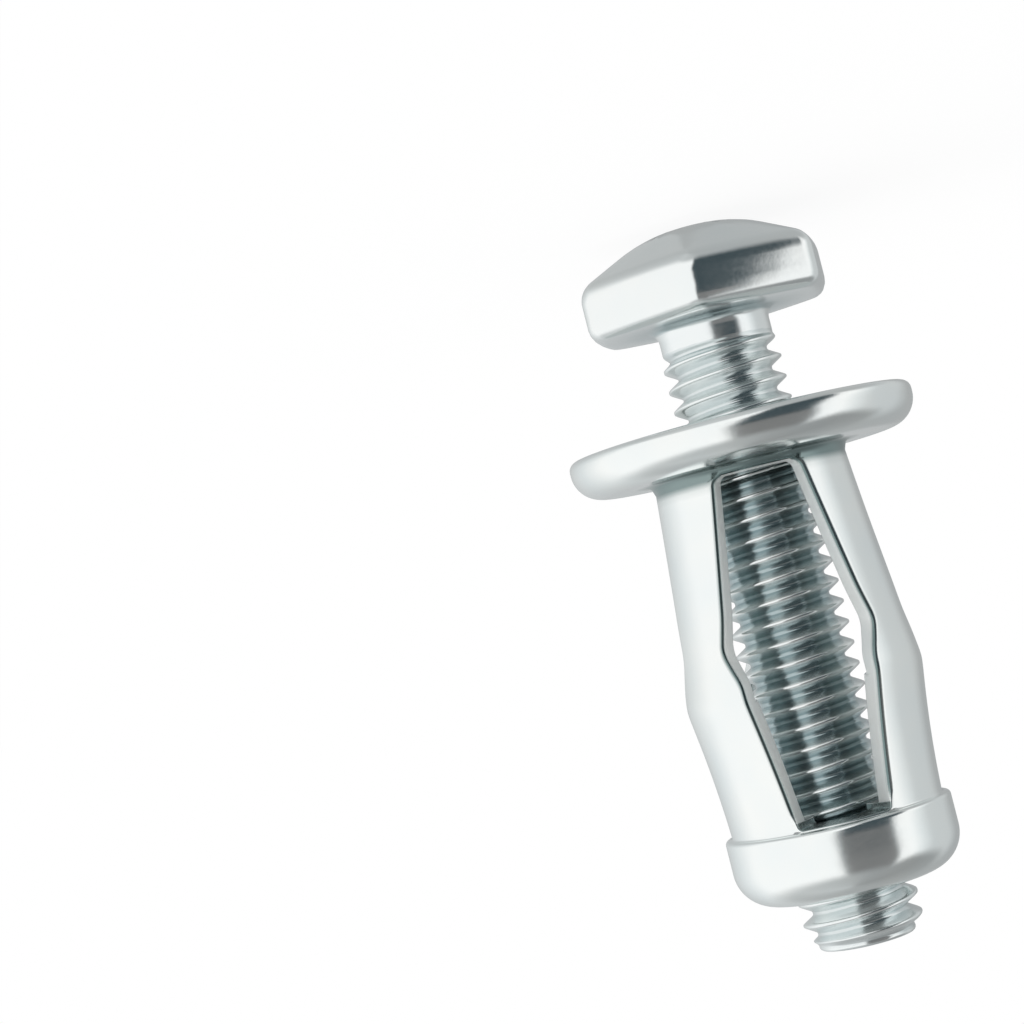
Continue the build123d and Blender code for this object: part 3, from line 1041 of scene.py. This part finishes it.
class StageSettings(bpy.types.PropertyGroup):
    """The floor, the light and the camera."""

    camera_place: position("Camera", "Where the camera is", (0.0060432, -0.0847849, 0.0119947))
    camera_aim: position("Aim", "What the camera points at", (0.0080106, 0.0000851, 0.0077281))
    camera_roll: degrees("Roll", "Turn of the camera from upside down", 13.95)
    lens: FloatProperty(name="Lens", description="Focal length in millimetres", default=89.46)
    floor_colour: colour("Floor", "Colour of the floor", (0.9, 0.9, 0.9))
    shadow: share("Shadow", "Part of the shadow that the floor keeps", 0.15)
    plain_level: share("Plain light", "Brightness of the light on dull things", 0.8)
    plain_slant: share("Plain slant", "How much stronger it is from +X than from -Y", 0.7)
    dark: colour("Dark card", "Colour of the card that the metal mirrors", (0.055, 0.075, 0.085))
    card_lean: degrees("Card lean", "Lean of the card's edges below the horizon", 45.0)


# ---------------- operators


class JACKNUT_OT_cage(bpy.types.Operator):
    """Build the cage nut with its flange, legs and collar"""

    bl_idname = "jack_nut.cage"
    bl_label = "Cage nut"

    def execute(self, context):
        finish = context.scene.jack_nut_finish
        material = zinc_plate("Cage zinc", finish, finish.cage_colour, finish.corner_tint, "cut")
        points, quads, cut, deep = cage_points(context.scene.jack_nut_cage)
        marks = {"cut": cut, "deep": deep}
        cage = add_piece("cage_nut_formed", material, marks, points, quads)
        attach(cage, "nut")
        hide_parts("cage_nut")
        return {"FINISHED"}


class JACKNUT_OT_screw(bpy.types.Operator):
    """Build the hexagon screw with its rolled thread"""

    bl_idname = "jack_nut.screw"
    bl_label = "Hexagon screw"

    def execute(self, context):
        finish = context.scene.jack_nut_finish
        material = zinc_plate("Screw zinc", finish, finish.screw_colour, finish.groove_tint)
        points, quads, triangles, deep = screw_points(context.scene.jack_nut_screw)
        marks = {"deep": deep}
        screw = add_piece("hex_screw_threaded", material, marks, points, quads, triangles)
        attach(screw, "screw")
        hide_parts("hex_screw")
        return {"FINISHED"}


class JACKNUT_OT_stage(bpy.types.Operator):
    """Set up the floor, the soft light and the camera"""

    bl_idname = "jack_nut.stage"
    bl_label = "Stage"

    def execute(self, context):
        stage = context.scene.jack_nut_stage
        scene = context.scene
        scene.world = scene.world or bpy.data.worlds.new("Studio")
        studio_surround(scene.world, stage)
        add_floor(stage)
        add_camera(stage)
        scene.view_settings.view_transform = "Standard"
        return {"FINISHED"}


OPERATORS = (JACKNUT_OT_cage, JACKNUT_OT_screw, JACKNUT_OT_stage)


class JACKNUT_PT_panel(bpy.types.Panel):
    """The jack nut's pieces and stage"""

    bl_idname = "JACKNUT_PT_panel"
    bl_label = "Jack nut"
    bl_space_type = "VIEW_3D"
    bl_region_type = "UI"
    bl_category = "Jack nut"

    def draw(self, context):
        column = self.layout.column()
        for operator in OPERATORS:
            column.operator(operator.bl_idname)


SETTINGS = {
    "jack_nut_cage": CageSizes,
    "jack_nut_screw": ScrewSizes,
    "jack_nut_finish": ZincFinish,
    "jack_nut_stage": StageSettings,
}
CLASSES = (*SETTINGS.values(), *OPERATORS, JACKNUT_PT_panel)


def register():
    for cls in CLASSES:
        bpy.utils.register_class(cls)
    for name, group in SETTINGS.items():
        setattr(bpy.types.Scene, name, PointerProperty(type=group))


def unregister():
    for name in SETTINGS:
        delattr(bpy.types.Scene, name)
    for cls in reversed(CLASSES):
        bpy.utils.unregister_class(cls)


def main():
    register()
    bpy.ops.jack_nut.cage()
    bpy.ops.jack_nut.screw()
    bpy.ops.jack_nut.stage()


if __name__ == "__main__":
    main()
